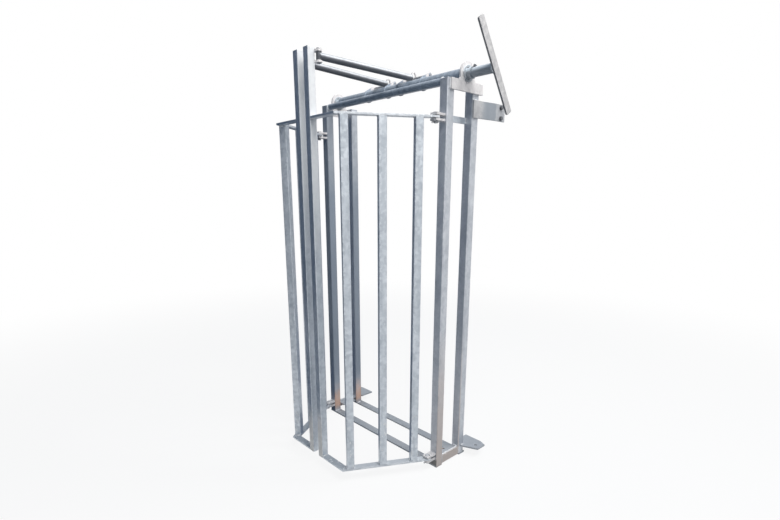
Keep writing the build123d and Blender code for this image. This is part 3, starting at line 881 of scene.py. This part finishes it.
# %% [markdown]
# ## Bolts and pins
# The gate's fasteners are turned pins and hexagon bolts. Each could be a bought model from a parts
# library, but a few outlines are enough: round shapes are spun from half an outline, as on a lathe, and a
# hexagon is a six-sided cylinder with its edges bevelled. A thread is the ribbed rod again, with a finer
# pitch.

# %% Bolt tools
lathe_steps, hexagon_ease = 32, 0.14
thread_pitch, thread_swell, thread_taper = 1.75 * mm, 0.05, 1.5 * mm


def turned(outline):
    """Spins an outline of (radius, height) pairs round Z. It is closed, or starts and ends on the axis."""
    shape = open_outline([(radius * mm, 0, height * mm) for radius, height in outline])
    bmesh.ops.spin(shape, geom=shape.verts[:] + shape.edges[:], axis=(0, 0, 1), cent=(0, 0, 0),
                   angle=math.tau, steps=lathe_steps, use_merge=True)
    bmesh.ops.remove_doubles(shape, verts=shape.verts, dist=merge_distance)
    bmesh.ops.recalc_face_normals(shape, faces=shape.faces)
    return shape


def hexagon(flats, low, high):
    """A bolt head or nut along Z, with its end edges bevelled."""
    head = bmesh.new()
    radius, height = flats / math.sqrt(3) * mm, (high - low) * mm
    bmesh.ops.create_cone(head, cap_ends=True, segments=6, radius1=radius, radius2=radius, depth=height,
                          matrix=Matrix.Translation((0, 0, (low + high) / 2 * mm)))
    ends = [e for e in head.edges if abs(e.verts[0].co.z - e.verts[1].co.z) < height / 2]
    bmesh.ops.bevel(head, geom=ends, offset=height * hexagon_ease, offset_type="OFFSET",
                    segments=round_segments, profile=0.5, affect="EDGES", material=-1)
    return head


def disc(inner, outer, low, high, edge=0.5):
    """A washer along Z with eased edges."""
    return turned([(inner, low), (outer - edge, low), (outer, low + edge), (outer, high - edge),
                   (outer - edge, high), (inner, high), (inner, low)])


def thread(radius, low, high):
    """A threaded rod along Z."""
    rod = ribbed_rod((high - low) * mm, radius * mm, thread_pitch, thread_swell, thread_taper)
    bmesh.ops.translate(rod, vec=(0, 0, (low + high) / 2 * mm), verts=rod.verts)
    return rod


def fit(shape, parts, place, direction=(0, 0, 1)):
    """Stands parts that were made along Z at a place, along a direction, and joins them to a shape."""
    for part in parts:
        bmesh.ops.transform(part, matrix=toward(Vector(place) * mm, direction), verts=part.verts)
        join(shape, part)


print("lathe steps", lathe_steps)

# %% [markdown]
# ## Hinge pins
# The wings swing on plain pins with a low head, held below by a washer and a split pin with an eye. Pin,
# washer and eye are turned, and the split pin is a thin ribbed rod across the pin. They stand for the
# packed plain pins.

# %% Hinge pins
pin_spans, pin_radius, pin_ease = ((40, 87.3), (1857, 1904.3)), 10, 1.5
head_radius, head_rim, head_slope, head_height = 14, 1.4, 1.8, 3
washer_fit, washer_outer, washer_low, washer_high = 0.2, 17, 8.2, 10.9
split_radius, split_reach, split_rise, eye_reach = 1.8, 16, 4.5, 18.5
eye_outline = [(2.4, -1.5), (4.2, -1.5), (4.8, 0), (4.2, 1.5), (2.4, 1.5), (1.8, 0), (2.4, -1.5)]
split_across, split_back = 0.35, 0.94

hinge_pins = bmesh.new()
for side in sides.values():
    for low, high in pin_spans:
        pin = turned([(0, low), (pin_radius - pin_ease, low), (pin_radius, low + pin_ease),
                      (pin_radius, high), (head_radius, high), (head_radius, high + head_rim),
                      (head_radius - head_slope, high + head_height), (0, high + head_height)])
        washer = disc(pin_radius - washer_fit, washer_outer, low + washer_low, low + washer_high)
        fit(hinge_pins, [pin, washer], (side * pin_x, pin_y, 0))
        split = thread(split_radius, -split_reach, split_reach)
        eye = turned(eye_outline)
        bmesh.ops.transform(eye, matrix=toward((0, 0, -eye_reach * mm), (1, 0, 0)), verts=eye.verts)
        split_way = (split_across * side, split_back, 0)
        fit(hinge_pins, [split, eye], (side * pin_x, pin_y, low + split_rise), split_way)
hinge_piece = add_piece(hinge_pins, "hinge_pins_turned", "frame", bolt_zinc)
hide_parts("hinge_pins")
print("hinge pins", len(hinge_piece.data.polygons), "faces")

# %% [markdown]
# ## Link bolts
# The links hang on hexagon bolts between two lugs of each wing, with a thin nut below. Head, shank,
# thread and nut overlap a little, so that no gap shows between them.

# %% Link bolts
bolt_low, bolt_high = (corner.z for corner in box_mm("right_link_pin"))
shank_radius, link_flats, link_head, overlap = 7, 20.5, 5, 0.7
shank_start, thread_end, nut_low, nut_high = 7, 8, 0.4, 4.9
head_low = bolt_high - link_head
for word, side in sides.items():
    link_bolt = bmesh.new()
    shank = turned([(0, bolt_low + shank_start), (shank_radius, bolt_low + shank_start),
                    (shank_radius, head_low + overlap), (0, head_low + overlap)])
    parts = [thread(shank_radius, bolt_low, bolt_low + thread_end), shank,
             hexagon(link_flats, head_low, bolt_high),
             hexagon(link_flats, bolt_low + nut_low, bolt_low + nut_high)]
    fit(link_bolt, parts, (side * link_front.x, link_front.y, 0))
    bolt_piece = add_piece(link_bolt, f"{word}_link_bolt", f"{word}_wing", bolt_zinc)
    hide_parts(f"{word}_link_pin")
print("link bolts", len(bolt_piece.data.polygons), "faces each")

# %% [markdown]
# ## Bracket bolts and hub screws
# Two dark bolts wait in the bracket's free end, each with a washer and a nut behind. Each hub is held to
# the shaft by a set screw, sunk in the collar beside the washer, and the right one also by a leaning bolt
# through the stub at the collar's outer end. They are small, but their dark heads are what the eye finds
# on pale zinc.

# %% Bracket bolts
bracket_bolt_y, bracket_bolt_levels = 386, (1919, 1972)
bolt_radius, bolt_flats, washer_radii = 6, 18.5, (5.8, 12)
front_washer, bolt_head, bolt_shank = (0.1, 2.5), (2.4, 10), (-26, 3)
back_washer, back_nut = (-10.5, -8.1), (-20.5, -10.4)
bracket_bolts = bmesh.new()
for level in bracket_bolt_levels:
    parts = [disc(*washer_radii, *front_washer), hexagon(bolt_flats, *bolt_head),
             thread(bolt_radius, *bolt_shank), disc(*washer_radii, *back_washer),
             hexagon(bolt_flats, *back_nut)]
    fit(bracket_bolts, parts, (bracket_high.x, bracket_bolt_y, level), (1, 0, 0))
add_piece(bracket_bolts, "bracket_bolts", "frame", eye_shade_and_dark_steel)
print("bracket bolts", len(bpy.data.meshes["bracket_bolts"].polygons), "faces")

# %% Hub screws
collar_radius, screw_angle, screw_places = 27, math.radians(122), (528, -496.3)
screw_outline = [(0, -3), (3.6, -3), (3.6, 1.2), (4.0, 1.5), (5.2, 1.5), (5.8, 0.8), (5.8, -2), (0, -3.4)]
screw_way = Vector((0, math.cos(screw_angle), math.sin(screw_angle)))
set_screws = bmesh.new()
for screw_x in screw_places:
    seat = Vector((screw_x, shaft_y, shaft_z)) + screw_way * collar_radius
    fit(set_screws, [turned(screw_outline)], seat, screw_way)
add_piece(set_screws, "hub_set_screws", "lever", eye_shade_and_dark_steel)

stop_x, stop_forward, stop_lean = 553.5, 2, (0.4, 0.25, 0.88)
stop_radius, stop_washer, stop_flats = 4, 9, 14
stop_shank, washer_span, stop_head = (-4, 6), (4.2, 6), (5.9, 12)
boss_outline = [(0, -1), (7, -1), (6, 2.4), (0, 2.4)]
stop_bolt = bmesh.new()
parts = [thread(stop_radius, *stop_shank), disc(stop_radius, stop_washer, *washer_span),
         hexagon(stop_flats, *stop_head), turned(boss_outline)]
fit(stop_bolt, parts, (stop_x, shaft_y - stop_forward, shaft_z + stub_radius), stop_lean)
add_piece(stop_bolt, "hub_stop_bolt", "lever", eye_shade_and_dark_steel)
print("hub screws", len(screw_places), "and a stop bolt at", stop_x, "mm")
